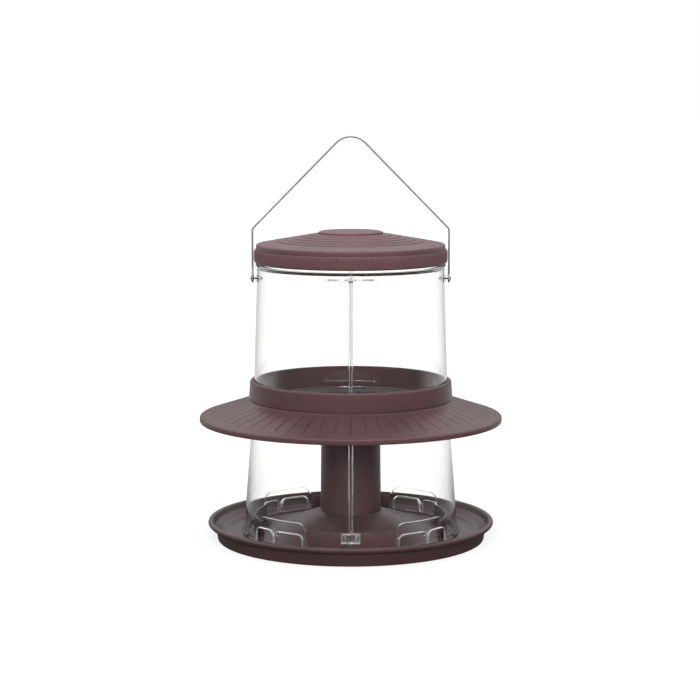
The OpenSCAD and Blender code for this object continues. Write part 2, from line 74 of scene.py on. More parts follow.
# tray and column
BEAD_R = 3.0
TRAY_H = 21.6
TRAY_BASE_R = 146.0
TRAY_T = 2.5
TRAY_FLOOR_R = 139.0
TRAY_RIBS = 6
CONE_FOOT_R = 104.0
HUB_R = COLUMN_R + 0.8
POLE_HOLE_R = 18.7
UPSTAND_Z = 27.4
UPSTAND_R = 105.8
UPSTAND_T = 2.2
UPSTAND_SPAN = 25
HOOK_ANGLES = (72, 108, 252, 288)
HOOK_SPAN = 2
COLUMN_T = 2.2
COLUMN_WEBS = 6
SOCKET_R = 12.9
SOCKET_OUT_R = 15.1
SOCKET_END = CONE_TOP + 92
SCREW_BOSSES = 3
SCREW_CIRCLE_R = 24.5
SCREW_HOLE_R = 1.75
SCREW_BOSS_R = 4.15

# hopper wall, foot to neck
SHELL_T = 2.0
SHELL_FOOT_R = 117.2
SHELL_WAIST_R = 106.6
SHELL_COLLAR_R = 105.3
SHELL_TOP_R = 101.8
WAIST_Z = 152.0
WAIST_BEAD = 1.5
COLLAR_Z = 175.0
SHOULDER_Z = 301.0
SHOULDER_R = 103.3
NECK_R = 97.0
NECK_H = 18.0
THREAD_Z = SHOULDER_Z + 1.9
THREAD_LEAD = 12.0

# seams, their flanges and the ledges across them
SEAM_GAP = 0.12
SEAM_LINE = 0.36
SEAM_FLANK = 1.1
FLANGE_T = 1.9
FLANGE_DEPTH = 5.0
LEDGE_HALF = 30.0
LEDGE_T = 1.6
LEDGES_Z = (WAIST_Z + 5.5, SHOULDER_Z - 8.5)
STUD_X = 5.2
STUD_R = 2.0
CLIP_RAIL = 1.4

# windows, their lips and the raised panels round each pair
NEAR_W = 34.6
FAR_W = 27.0
WINDOW_POST = 4.0
WINDOW_SILL = 10.2
WINDOW_TOP = 24.1
WINDOW_CORNER = 6.0
WINDOW_EDGE = ((0.35, 0.0), (0.1, -0.06), (0.0, -0.3),
               (0.0, -SHELL_T + 0.3), (0.1, -SHELL_T + 0.06), (0.35, -SHELL_T))
PORT_MID = 43.5
PORT_NEAR = PORT_MID - degrees(asin((NEAR_W + WINDOW_POST) / 2 / SHELL_FOOT_R))
PORT_FAR = PORT_MID + degrees(asin((FAR_W + WINDOW_POST) / 2 / SHELL_FOOT_R))
PORTS = ((PORT_NEAR, NEAR_W), (PORT_FAR, FAR_W), (180 - PORT_FAR, FAR_W), (180 - PORT_NEAR, NEAR_W))
LIP_OUT = 2.6
LIP_T = 1.6
HOOD_TOP = WINDOW_TOP + 12.0
HOOD_FOOT = (9.7, 10.6)
HOOD_SIDE = 2.9
HOOD_CORNER = 11.0
HOOD_OUT = 0.9

# baffle
COLLAR_IN_R = SHELL_WAIST_R + 0.15
COLLAR_OUT_R = COLLAR_IN_R + 4.5
BRIM_EDGE_H = 6.0
BAFFLE_T = 2.4
GROOVES = 58
GROOVE_DEPTH = 0.75
GROOVE_OFFSETS = (-1.9, -1.0, -0.75, -0.4, 0.0, 0.4, 0.75, 1.0, 1.9)

# lid
BAND_H = 5.8
CAP_RISE = 10.8
CAP_T = 2.2
CAP_GAP = 0.15
CAP_STEPS = 5
CAP_STEP_H = 0.7
DISC_R = 35.0
RING_BORE = RING_R - 4.0
RIBS = 204
RIB_POINTS = 8
RIB_OUT = 0.7

# pivots and bail
BOSS_R = 3.6
BOSS_START = SHELL_TOP_R - 3.6
JOURNAL_R = 2.45
PIN_R = 0.7
PIN_NUT_R = 1.7
PIN_HEAD_R = 1.3
WIRE_R = 1.15
BAIL_HALF = 106.5
BEND_Z = PIVOT_Z + 54.1
BEND_R = 6.0
PEAK_R = 22.0
EYE_R = 3.61
EYE_TURN = 318
JOURNAL_END = BAIL_HALF + WIRE_R + 0.05


# ---- mesh helpers ----

class Soup:
    """Points and faces of a piece that is put together from several closed shells."""

    def __init__(self):
        self.verts = []
        self.faces = []

    def add(self, verts, faces):
        base = len(self.verts)
        self.verts += [tuple(float(c) for c in v) for v in verts]
        self.faces += [tuple(i + base for i in f) for f in faces]

    def join(self, other, place=tuple, flip=False):
        """Add another soup, its points moved by the map place. A map that mirrors needs flip."""
        self.add([place(v) for v in other.verts], flipped(other.faces) if flip else other.faces)


def new_object(name, data):
    obj = bpy.data.objects.new(name, data)
    bpy.context.scene.collection.objects.link(obj)
    return obj


def make_object(name, soup, material, body, sharp=35.0):
    """An object in the scene from a soup in millimetres, smooth but for its sharp edges."""
    mesh = bpy.data.meshes.new(name)
    mesh.from_pydata([tuple(c * MM for c in v) for v in soup.verts], [], soup.faces)
    mesh.validate()
    mesh.shade_smooth()
    mesh.set_sharp_from_angle(angle=radians(sharp))
    obj = new_object(name, mesh)
    mesh.materials.append(material)
    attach(obj, body)
    return obj


def around(t, r, z):
    """The point at a plan angle in radians, a radius and a height."""
    return (r * sin(t), -r * cos(t), z)


def turned(angle):
    """A map that turns points about the vertical axis by a plan angle in degrees."""
    t = radians(angle)
    return lambda p: (p[0] * cos(t) - p[1] * sin(t), p[0] * sin(t) + p[1] * cos(t), p[2])


def smooth_step(edge0, edge1, x):
    t = min(1.0, max(0.0, (x - edge0) / (edge1 - edge0)))
    return t * t * (3 - 2 * t)


def unit(v):
    return v / np.linalg.norm(v)


def plateau(rise, fall, x):
    """0, then 1 after the span rise, then 0 again after the span fall."""
    return smooth_step(*rise, x) * (1 - smooth_step(*fall, x))


def flipped(faces):
    return [f[::-1] for f in faces]


def rounded(points, radii, steps=4):
    """A closed outline with its corners turned into arcs. radii has one radius for each point."""
    out = []
    for i, (point, radius) in enumerate(zip(points, radii)):
        p = np.array(point, float)
        if radius <= 0:
            out.append(tuple(p))
            continue
        a = np.array(points[i - 1], float) - p
        b = np.array(points[(i + 1) % len(points)], float) - p
        la, lb = np.linalg.norm(a), np.linalg.norm(b)
        a, b = a / la, b / lb
        half = acos(max(-1.0, min(1.0, float(a @ b)))) / 2
        if half < radians(1) or half > radians(89):
            out.append(tuple(p))
            continue
        cut = min(radius / tan(half), 0.49 * la, 0.49 * lb)
        r = cut * tan(half)
        centre = p + unit(a + b) * (r / sin(half))
        start, end = p + a * cut - centre, p + b * cut - centre
        t0 = atan2(start[1], start[0])
        turn = (atan2(end[1], end[0]) - t0 + pi) % (2 * pi) - pi
        for k in range(steps + 1):
            t = t0 + turn * k / steps
            out.append((centre[0] + r * cos(t), centre[1] + r * sin(t)))
    return out


def rectangle(r0, z0, r1, z1):
    return [(r0, z0), (r1, z0), (r1, z1), (r0, z1)]


def split_long(points, longest):
    """The outline with its long straight stretches cut into shorter ones."""
    out = []
    for i, p in enumerate(points):
        q = points[(i + 1) % len(points)]
        n = max(1, int(dist(p, q) / longest))
        out += [(p[0] + (q[0] - p[0]) * k / n, p[1] + (q[1] - p[1]) * k / n) for k in range(n)]
    return out


def ring_faces(rows, cols, close_rows, close_cols):
    """Quads of a grid of rows by cols points."""
    faces = []
    for j in range(rows if close_rows else rows - 1):
        for i in range(cols if close_cols else cols - 1):
            j2, i2 = (j + 1) % rows, (i + 1) % cols
            faces.append((j * cols + i, j * cols + i2, j2 * cols + i2, j2 * cols + i))
    return faces


def capped_faces(rows, cols):
    """Faces of a row of closed loops of cols points, with both ends filled."""
    ends = [tuple(range(cols))[::-1], tuple(range((rows - 1) * cols, rows * cols))]
    return ring_faces(rows, cols, False, True) + ends


def add_lean(faces, face):
    """Add a face without its doubled corners, if more than two are left."""
    lean = [v for i, v in enumerate(face) if v != face[i - 1]]
    if len(lean) > 2 and len(set(lean)) == len(lean):
        faces.append(lean)


def lathe(soup, outline, segments=192):
    """A full turn of a closed outline of (radius, height) points. Points on the axis meet in one."""
    rows, verts = [], []
    for r, z in outline:
        if r < 1e-6:
            rows.append([len(verts)] * segments)
            verts.append((0.0, 0.0, z))
        else:
            rows.append(list(range(len(verts), len(verts) + segments)))
            verts += [around(2 * pi * k / segments, r, z) for k in range(segments)]
    faces = []
    for j in range(len(rows)):
        a, b = rows[j], rows[(j + 1) % len(rows)]
        for k in range(segments):
            n = (k + 1) % segments
            add_lean(faces, [a[k], a[n], b[n], b[k]])
    soup.add(verts, faces)


def arc_sweep(soup, outline, start, end, steps, round_end=0.6):
    """A closed outline swept round the axis between two plan angles in degrees, with rounded ends."""
    outline = np.array(outline, float)
    middle = outline.mean(axis=0)
    radius = middle[0]
    rim = degrees(0.35 * round_end / radius)
    inner_a = start + degrees(round_end / radius)
    inner_b = end - degrees(round_end / radius)
    turns = [(start, 0.86), (start + rim, 0.95)]
    turns += [(inner_a + (inner_b - inner_a) * k / steps, 1.0) for k in range(steps + 1)]
    turns += [(end - rim, 0.95), (end, 0.86)]
    verts = []
    for angle, scale in turns:
        verts += [around(radians(angle), r, z) for r, z in middle + (outline - middle) * scale]
    soup.add(verts, capped_faces(len(turns), len(outline)))


def tube(soup, path, radius, sides):
    """A round wire along a path of points, with rounded ends."""
    path = [np.array(p, float) for p in path]
    tangents = []
    for i in range(len(path)):
        tangents.append(unit(path[min(i + 1, len(path) - 1)] - path[max(i - 1, 0)]))
    side = unit(np.cross(tangents[0], (0, 1, 0.02)))
    rings = []
    for point, tangent in zip(path, tangents):
        side = unit(side - tangent * (side @ tangent))
        rings.append((point, tangent, side))
    first, last = rings[0], rings[-1]
    caps = ((0.97, 0.25), (0.8, 0.6), (0.45, 0.9))
    stack = [(first[0] - first[1] * radius * d, first, s) for s, d in reversed(caps)]
    stack += [(r[0], r, 1.0) for r in rings]
    stack += [(last[0] + last[1] * radius * d, last, s) for s, d in caps]
    verts = []
    for point, (_, tangent, side), scale in stack:
        other = np.cross(tangent, side)
        for k in range(sides):
            t = 2 * pi * k / sides
            verts.append(point + (side * cos(t) + other * sin(t)) * radius * scale)
    soup.add(verts, capped_faces(len(stack), sides))


def block(soup, low, high, bevel, place):
    """A box with rounded edges. place maps each point to its final position."""
    low, high = np.array(low, float), np.array(high, float)
    steps = [bevel * s for s in (0.0, 0.3, 1.0)]
    verts, faces, index = [], [], {}

    def vert(p):
        key = tuple(round(c, 5) for c in p)
        if key not in index:
            index[key] = len(verts)
            verts.append(place(p))
        return index[key]

    for axis in range(3):
        u, v = (axis + 1) % 3, (axis + 2) % 3
        us, vs = ([low[c] + s for s in steps] + [high[c] - s for s in reversed(steps)] for c in (u, v))
        for end in (0, 1):
            grid = []
            for b in vs:
                row = []
                for a in us:
                    p = np.zeros(3)
                    p[u], p[v] = a, b
                    p[axis] = high[axis] if end else low[axis]
                    inner = np.clip(p, low + bevel, high - bevel)
                    away = p - inner
                    length = np.linalg.norm(away)
                    if length > 1e-9:
                        p = inner + away / length * bevel
                    row.append(vert(p))
                grid.append(row)
            for j in range(len(grid) - 1):
                for i in range(len(grid) - 1):
                    face = [grid[j][i], grid[j][i + 1], grid[j + 1][i + 1], grid[j + 1][i]]
                    add_lean(faces, face if end else face[::-1])
    soup.add(verts, faces)


def thread_stretch(soup, section, span, steps, round_end, polar, z, radius):
    """A stretch of thread that climbs with the lead, span degrees to each side of a polar angle."""
    stretch = Soup()
    arc_sweep(stretch, section, -span, span, steps, round_end)
    rise = THREAD_LEAD / (2 * pi * radius)
    spin = turned(polar + 90)

    def climb(v):
        along = atan2(v[0], -v[1]) * radius
        return spin((v[0], v[1], v[2] + z + along * rise))
    soup.join(stretch, climb)


def sideways(side):
    """A map that lays a turned shape along the X axis at the pivots' height, towards one side."""
    return lambda v: (side * v[2], v[0], PIVOT_Z + v[1])


# ---- materials ----

def feed(tree, node, inputs):
    """Set a node's inputs, by name or index, to values, or link them to the sockets given."""
    for name, value in inputs.items():
        if isinstance(value, bpy.types.NodeSocket):
            tree.links.new(value, node.inputs[name])
        else:
            node.inputs[name].default_value = value


def add_node(tree, kind, inputs=None, operation=None):
    node = tree.nodes.new("ShaderNode" + kind)
    if operation:
        node.operation = operation
    feed(tree, node, inputs or {})
    return node


def new_material(name):
    material = bpy.data.materials.new(name)
    material.use_nodes = True
    return material, material.node_tree, material.node_tree.nodes["Principled BSDF"]


def noise(tree, scale, detail):
    """Noise in the object's own coordinates."""
    coords = add_node(tree, "TexCoord").outputs["Object"]
    return add_node(tree, "TexNoise", {"Scale": scale, "Detail": detail, "Vector": coords}).outputs["Fac"]


def ramp(tree, source, stops):
    """A colour ramp from (position, colour) stops."""
    node = add_node(tree, "ValToRGB", {"Fac": source})
    elements = node.color_ramp.elements
    while len(elements) < len(stops):
        elements.new(0.5)
    for element, (position, colour) in zip(elements, stops):
        element.position = position
        element.color = (*colour, 1.0)
    return node.outputs["Color"]


def map_range(tree, source, to, span=(0.0, 1.0)):
    """The source's values in span, stretched to the range to."""
    inputs = {"Value": source, "From Min": span[0], "From Max": span[1], "To Min": to[0], "To Max": to[1]}
    return add_node(tree, "MapRange", inputs).outputs["Result"]


def mix_shaders(tree, factor, first, second):
    return add_node(tree, "MixShader", {0: factor, 1: first, 2: second}).outputs[0]


def bump(tree, source, strength, height):
    inputs = {"Strength": strength, "Distance": height * MM, "Height": source}
    return add_node(tree, "Bump", inputs).outputs["Normal"]


def brown_plastic(name, tone, rough=0.42, gloss=0.3):
    """Moulded plastic, dark reddish brown: satin, with a fine pebbled grain and slight flow streaks."""
    material, tree, shader = new_material(name)
    # tone scales the brown: above 1 it is painted light, below 1 painted shade
    base = (0.094 * tone, 0.046 * tone, 0.05 * tone)
    stops = [(place, tuple(c * share for c in base)) for place, share in ((0.3, 0.9), (0.7, 1.12))]
    feed(tree, shader, {
        "Base Color": ramp(tree, noise(tree, 14.0, 3.0), stops),
        "Roughness": map_range(tree, noise(tree, 60.0, 4.0), (rough - 0.05, rough + 0.06)),
        "Normal": bump(tree, noise(tree, 1400.0, 2.0), 0.25, 0.012)})
    shader.inputs["IOR"].default_value = 1.5
    shader.inputs["Specular IOR Level"].default_value = gloss
    return material


# colour that the clear plastic lets through, from walls seen flat on to walls seen edge on; the darkening
# edge on stands partly for the plastic's absorption and partly, as painted shade, for the dark edges that a
# dark studio gives clear walls
CLEAR_TINT = ((0.0, (0.995, 0.995, 0.99)), (0.5, (0.97, 0.972, 0.965)),
              (0.8, (0.82, 0.82, 0.81)), (1.0, (0.4, 0.4, 0.4)))


def clear_plastic(name, frost=0.0, tone=1.0, ior=1.5):
    """Clear moulded plastic with faint flow lines, whiter with frost and darker with a lower tone."""
    material, tree, shader = new_material(name)
    facing = add_node(tree, "LayerWeight", {"Blend": 0.32}).outputs["Facing"]
    # a tone below 1 darkens what the plastic lets through, as painted shade; frost turns a share of the
    # surface white, as painted highlight
    stops = [(place, tuple(c * tone for c in tint)) for place, tint in CLEAR_TINT]
    feed(tree, shader, {
        "Base Color": ramp(tree, facing, stops),
        "Roughness": map_range(tree, noise(tree, 40.0, 3.0), (0.0, 0.03)),
        "Normal": bump(tree, noise(tree, 9.0, 2.0), 0.12, 0.4),
        "Transmission Weight": 1.0 - frost})
    shader.inputs["IOR"].default_value = ior
    # lamps shine through the thin walls on to what is inside
    through = add_node(tree, "BsdfTransparent", {"Color": (0.78, 0.78, 0.77, 1)}).outputs[0]
    shadow = add_node(tree, "LightPath").outputs["Is Shadow Ray"]
    mix = mix_shaders(tree, shadow, shader.outputs["BSDF"], through)
    feed(tree, tree.nodes["Material Output"], {"Surface": mix})
    return material


def bare_steel(name, base, rough):
    """Drawn steel with fine scratches and slightly uneven shine."""
    material, tree, shader = new_material(name)
    scratch = noise(tree, 160.0, 3.0)
    stops = [(place, tuple(c * share for c in base)) for place, share in ((0.3, 0.93), (0.75, 1.05))]
    feed(tree, shader, {"Base Color": ramp(tree, scratch, stops), "Metallic": 1.0,
                        "Roughness": map_range(tree, scratch, (rough - 0.03, rough + 0.05))})
    return material


# one brown plastic in lit and shaded copies: the tray's and column's lower tones are painted shade, the
# lid's higher tone is painted light, the baffle keeps the plain brown
TRAY_MATERIAL = brown_plastic("tray_brown", tone=0.76, rough=0.34, gloss=0.52)
COLUMN_MATERIAL = brown_plastic("column_brown", tone=0.75, rough=0.33, gloss=0.5)
BAFFLE_MATERIAL = brown_plastic("baffle_brown", tone=1.0, rough=0.37, gloss=0.32)
LID_MATERIAL = brown_plastic("lid_brown", tone=1.4, gloss=0.42)
CLEAR_MATERIAL = clear_plastic("hopper_clear")
# painted highlight: the edge plastic's frost whitens the window lips, the seam flanks and the clip rails;
# painted shade: the seam and step plastics' low tones paint the dark lines along the seams, round the raised
# panels and at the shoulder step
EDGE_MATERIAL = clear_plastic("hopper_edges", frost=0.12)
SEAM_MATERIAL = clear_plastic("hopper_seam", tone=0.25)
STEP_MATERIAL = clear_plastic("hopper_steps", tone=0.6)
NECK_MATERIAL = clear_plastic("hopper_neck", tone=0.97, ior=1.06)
WIRE_MATERIAL = bare_steel("wire_steel", (0.66, 0.65, 0.65), 0.6)
PIN_MATERIAL = bare_steel("pin_steel", (0.22, 0.22, 0.23), 0.38)

# material slots of the hopper's shells
CLEAR_SLOT, EDGE_SLOT, SEAM_SLOT, STEP_SLOT, NECK_SLOT = range(5)


# ---- tray ----

def tray_rib(angle):
    """A radial rib below the tray, whose top follows the underside of the cone and floor."""
    slope = (CONE_TOP - FLOOR_Z) / (CONE_FOOT_R - HUB_R)
    foot_slope = (CONE_TOP - 11.5) / (CONE_FOOT_R - HUB_R + 6)
    cuts = np.linspace(HUB_R - 6, TRAY_BASE_R - 2, 10)
    spin = turned(angle)
    verts = []
    for r in cuts:
        inward = max(0.0, CONE_FOOT_R - r)
        top = FLOOR_Z - TRAY_T + inward * slope + 0.4
        foot = 2.5 + inward * foot_slope
        verts += [spin((r, y, foot + (top - foot) * up)) for y, up in rectangle(-1, 0, 1, 1)]
    return verts, capped_faces(len(cuts), 4)


def build_tray():
    soup = Soup()
    rim_in = TRAY_R - 2 * BEAD_R
    bead = [(TRAY_R - BEAD_R + BEAD_R * cos(t), TRAY_H - BEAD_R + BEAD_R * sin(t))
            for t in np.linspace(radians(-78), radians(165), 22)]
    corners = [(TRAY_BASE_R - 2.5, 0.0), (TRAY_BASE_R, 0.0), (TRAY_R - 7.9, TRAY_H - 6.2)]
    outside = rounded(corners + [bead[0]] + [(rim_in, 0)], (0.3, 1.6, 1.2, 0, 0))[:-2]
    inside = rounded([bead[-1], (rim_in - 1.8, TRAY_H - 6.5), (TRAY_FLOOR_R + 1.5, FLOOR_Z),
                      (CONE_FOOT_R, FLOOR_Z), (HUB_R + 0.6, CONE_TOP), (POLE_HOLE_R, CONE_TOP),
                      (POLE_HOLE_R, CONE_TOP - TRAY_T), (HUB_R - 0.8, CONE_TOP - TRAY_T),
                      (CONE_FOOT_R - 0.8, FLOOR_Z - TRAY_T), (TRAY_BASE_R - 2.5, FLOOR_Z - TRAY_T)],
                     (0, 3.0, 8.0, 9.0, 1.0, 0.5, 0.5, 1.0, 6.0, 0.8), 6)
    lathe(soup, split_long(outside + bead + inside[1:], 12.0), 256)
    # two low ribs hold the hopper's foot between them
    for r in (SHELL_FOOT_R - SHELL_T - 2.7, SHELL_FOOT_R + 1.55):
        lathe(soup, rounded(rectangle(r, FLOOR_Z - 0.4, r + 1.1, FLOOR_Z + 1.2), (0, 0, 0.4, 0.4), 3))
    wall = rounded(rectangle(UPSTAND_R - UPSTAND_T, FLOOR_Z - 1, UPSTAND_R, UPSTAND_Z), (0, 0, 0.7, 0.7))
    for angle in (0, 90, 180, 270):
        arc_sweep(soup, wall, angle - UPSTAND_SPAN, angle + UPSTAND_SPAN, 40)
    hook = rounded([(SHELL_FOOT_R + 1.7, FLOOR_Z - 0.4), (SHELL_FOOT_R + 3.2, FLOOR_Z - 0.4),
                    (SHELL_FOOT_R + 3.2, FLOOR_Z + 3.2), (SHELL_FOOT_R + 0.5, FLOOR_Z + 3.2),
                    (SHELL_FOOT_R + 0.5, FLOOR_Z + 1.6), (SHELL_FOOT_R + 1.7, FLOOR_Z + 1.6)],
                   (0, 0, 1.2, 0.8, 0.2, 0.2), 3)
    for angle in HOOK_ANGLES:
        arc_sweep(soup, hook, angle - HOOK_SPAN, angle + HOOK_SPAN, 6)
    for k in range(TRAY_RIBS):
        soup.add(*tray_rib(360 / TRAY_RIBS * k + 30))
    piece = make_object("tray_dish", soup, TRAY_MATERIAL, "feeder")
    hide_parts("tray")


# ---- column ----

def build_column():
    """The hollow column with its pole socket, the webs between them and three screw bosses."""
    soup = Soup()
    top_r = COLUMN_R - 0.9
    shoulder = COLUMN_TOP - 9.0
    outer = rounded([(COLUMN_R - COLUMN_T, CONE_TOP), (COLUMN_R, CONE_TOP), (top_r, shoulder),
                     (top_r - 3, shoulder + 3.5), (9, COLUMN_TOP), (0, COLUMN_TOP),
                     (0, COLUMN_TOP - COLUMN_T), (8, COLUMN_TOP - COLUMN_T), (top_r - COLUMN_T, shoulder)],
                    (0.3, 0.5, 2.0, 4.0, 6.0, 0, 0, 4.0, 1.5), 6)
    lathe(soup, split_long(outer, 10.0), 144)
    socket_top = SOCKET_END + COLUMN_T
    lathe(soup, rounded([(SOCKET_R, CONE_TOP), (SOCKET_OUT_R, CONE_TOP), (SOCKET_OUT_R, socket_top),
                         (0, socket_top), (0, SOCKET_END), (SOCKET_R, SOCKET_END)],
                        (0.6, 0.3, 0.8, 0, 0, 0.6)), 96)
    for k in range(COLUMN_WEBS):
        block(soup, (SOCKET_R + 1, -0.9, CONE_TOP + 1), (COLUMN_R - 1.2, 0.9, CONE_TOP + 87), 0.15,
              turned(360 / COLUMN_WEBS * k + 30))
    boss_top, hole_top = CONE_TOP + 16, CONE_TOP + 14.2
    for k in range(SCREW_BOSSES):
        boss = Soup()
        lathe(boss, rounded([(SCREW_HOLE_R, CONE_TOP), (SCREW_BOSS_R, CONE_TOP), (SCREW_BOSS_R, boss_top),
                             (0, boss_top), (0, hole_top), (SCREW_HOLE_R, hole_top)],
                            (0.2, 0.2, 0.4, 0, 0, 0.2), 3), 32)
        spin = turned(360 / SCREW_BOSSES * k + 90)
        soup.join(boss, lambda v: spin((v[0] + SCREW_CIRCLE_R, v[1], v[2])))
    piece = make_object("pole_column_shell", soup, COLUMN_MATERIAL, "feeder")
    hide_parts("pole_column")
    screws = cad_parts["column_screws"]
    for slot in screws.material_slots:
        slot.material = PIN_MATERIAL


# ---- hopper ----

def shell_radius(z):
    """Outer radius of the hopper's wall at a height."""
    if z < WAIST_Z:
        return SHELL_FOOT_R + (SHELL_WAIST_R - SHELL_FOOT_R) * (z - FLOOR_Z) / (WAIST_Z - FLOOR_Z)
    if z < COLLAR_Z:
        return SHELL_WAIST_R + (SHELL_COLLAR_R - SHELL_WAIST_R) * (z - WAIST_Z) / (COLLAR_Z - WAIST_Z)
    part = min(1.0, (z - COLLAR_Z) / (PIVOT_Z - COLLAR_Z))
    return SHELL_COLLAR_R + (SHELL_TOP_R - SHELL_COLLAR_R) * part


def rounded_box_distance(x, y, half_w, top, corner):
    """Signed distance to an upright shape with round top corners, endless below; negative inside."""
    dx = abs(x) - (half_w - corner)
    dy = y - (top - corner)
    outside = hypot(max(dx, 0.0), max(dy, 0.0))
    return outside + min(max(dx, dy), 0.0) - corner


def hood_offset(angle, z):
    """How far the raised panel round a pair of windows stands out at a plan angle from 0 to 180."""
    start = PORT_NEAR - degrees(asin((NEAR_W / 2 + HOOD_SIDE) / SHELL_FOOT_R))
    end = PORT_FAR + degrees(asin((FAR_W / 2 + HOOD_SIDE) / SHELL_FOOT_R))
    middle = (start + end) / 2
    along = min(abs(angle - middle), abs(angle - (180 - middle)))
    x = radians(along) * SHELL_FOOT_R
    half = radians((end - start) / 2) * SHELL_FOOT_R
    return HOOD_OUT * smooth_step(0.4, -0.4, rounded_box_distance(x, z, half, HOOD_TOP, HOOD_CORNER))


def inner_offset(angle, z, r_in):
    """How far the inner face moves in for the seam flanges and the ledges across the seams."""
    from_seam = min(angle, 180.0 - angle)
    x = radians(from_seam) * r_in
    rise = plateau((FLOOR_Z + 2.2, FLOOR_Z + 3.6), (LEDGES_Z[1] - 0.6, LEDGES_Z[1]), z)
    move = FLANGE_DEPTH * rise * (1 - smooth_step(FLANGE_T - 0.25, FLANGE_T + 0.25, x))
    for ledge in LEDGES_Z:
        if ledge - 0.05 <= z <= ledge + LEDGE_T + 0.05:
            chord = sqrt(r_in ** 2 - LEDGE_HALF ** 2)
            if r_in * sin(radians(from_seam)) < LEDGE_HALF:
                move = max(move, r_in - chord / cos(radians(from_seam)))
    return move


def shell_rows():
    """Rows of (outer radius, outer height, inner radius, inner height) from the foot to the neck's rim."""
    rows = []

    def wall(*heights):
        for z in heights:
            rows.append((shell_radius(z), float(z), shell_radius(z) - SHELL_T, float(z)))

    inner_foot = shell_radius(FLOOR_Z) - SHELL_T
    for r, z in ((118.2, 0.0), (118.55, 0.12), (118.6, 0.4), (118.6, 0.8), (118.4, 1.12), (117.6, 1.22)):
        rows.append((r, FLOOR_Z + z, inner_foot - z * 0.07, FLOOR_Z + z))
    wall(*np.arange(FLOOR_Z + 1.5, 38.0, 0.36))
    wall(*np.linspace(40, WAIST_Z - 4, 12))
    for share, z in ((0.0, -2.6), (0.5, -2.25), (1.0, -2.1), (1.0, -0.4), (0.7, -0.1), (0.0, 0.0)):
        rows.append((SHELL_WAIST_R + WAIST_BEAD * share, WAIST_Z + z,
                     shell_radius(WAIST_Z + z) - SHELL_T, WAIST_Z + z))
    low, high = LEDGES_Z
    wall(low - 0.2, low, low + LEDGE_T, low + LEDGE_T + 0.2, 168)
    wall(175, 176.5, 200, 225, 250, 270, 282, 290)
    wall(high - 0.2, high, high + LEDGE_T, high + LEDGE_T + 0.2, SHOULDER_Z - 4.6)
    inner_neck = NECK_R - SHELL_T
    for r, z, ri, zi in ((SHELL_TOP_R, -1.0, 99.8, -1.9), (SHELL_TOP_R + 0.2, -0.75, 99.5, -1.5),
                         (SHOULDER_R - 0.3, -0.6, 98.6, -1.15), (SHOULDER_R, -0.45, 97.2, -0.95),
                         (SHOULDER_R, -0.15, 96.0, -0.85), (SHOULDER_R - 0.15, 0.0, 95.1, -0.5),
                         (NECK_R + 0.8, 0.0, inner_neck, 0.0), (NECK_R, 0.7, inner_neck, 0.7),
                         (NECK_R, 6.0, inner_neck, 6.0), (NECK_R, 12.0, inner_neck, 12.0),
                         (NECK_R, NECK_H - 0.5, inner_neck, NECK_H - 0.5),
                         (NECK_R - 0.25, NECK_H - 0.1, inner_neck + 0.25, NECK_H - 0.1),
                         (NECK_R - 0.6, NECK_H, inner_neck + 0.6, NECK_H)):
        rows.append((r, SHOULDER_Z + z, ri, SHOULDER_Z + zi))
    return rows


def shell_columns():
    """Plan angles of one half, from seam to seam, close together at the flanges, ledges and ports."""
    step = 0.2
    half = [0.0, 0.35, 0.75, 0.92, 1.0, 1.08, 1.3, 2.0]
    half += list(np.arange(4.0, 23.0, 2.0)) + list(np.arange(23.0, 61.0 + step, step))
    half += list(np.arange(62.0, 90.0, 2.0))
    return half + [90.0] + [180.0 - a for a in reversed(half)]


def window_outline_point(direction, half_w, bottom, top, corner):
    """The point of a window's outline that a ray from its middle meets. direction is (x, y)."""
    low, high = 0.0, 60.0
    mid_y = (bottom + top) / 2
    length = hypot(*direction)
    dx, dy = direction[0] / length, direction[1] / length
    for _ in range(40):
        mid = (low + high) / 2
        x, y = dx * mid, mid_y + dy * mid
        if y < bottom or rounded_box_distance(x, y, half_w, top, corner) > 0:
            high = mid
        else:
            low = mid
    return dx * low, mid_y + dy * low


def lip_path(width):
    """The line up one side of a window, over its round corners and down the other, as (x, z) points."""
    half, corner = width / 2, WINDOW_CORNER
    spring = WINDOW_TOP - corner
    sides = np.linspace(WINDOW_SILL + 0.05, spring, 6)
    arc = [radians(a) for a in np.linspace(10, 90, 9)]
    path = [(-half, z) for z in sides]
    path += [(corner - half - corner * cos(a), spring + corner * sin(a)) for a in arc]
    path += [(corner - half + (width - 2 * corner) * k / 8, WINDOW_TOP) for k in range(1, 9)]
    path += [(half - corner + corner * sin(a), spring + corner * cos(a)) for a in arc]
    path += [(half, z) for z in sides[-2::-1]]
    return path


def build_window_lips(side, name):
    """The lips that stand out round each window's sides and top."""
    soup = Soup()
    section = rounded(rectangle(0.0, 0.03, LIP_T, LIP_OUT), (0.1, 0.1, 0.55, 0.55), 3)
    for middle, width in PORTS:
        path = lip_path(width)
        verts = []
        for k, (x, z) in enumerate(path):
            ahead, behind = path[min(k + 1, len(path) - 1)], path[max(k - 1, 0)]
            along = unit(np.array((ahead[0] - behind[0], ahead[1] - behind[1])))
            for grow, out in section:
                px, pz = x - along[1] * grow, z + along[0] * grow
                angle = middle + degrees(px / SHELL_FOOT_R)
                r = shell_radius(pz) + hood_offset(angle, pz) + out
                vx, vy, vz = around(radians(angle), r, pz)
                verts.append((side * vx, vy, vz))
        faces = capped_faces(len(path), len(section))
        soup.add(verts, flipped(faces) if side > 0 else faces)
    # the lips take the frosted edge plastic, whitened as painted highlight
    piece = make_object(name + "_window_lips", soup, EDGE_MATERIAL, "feeder", 40.0)


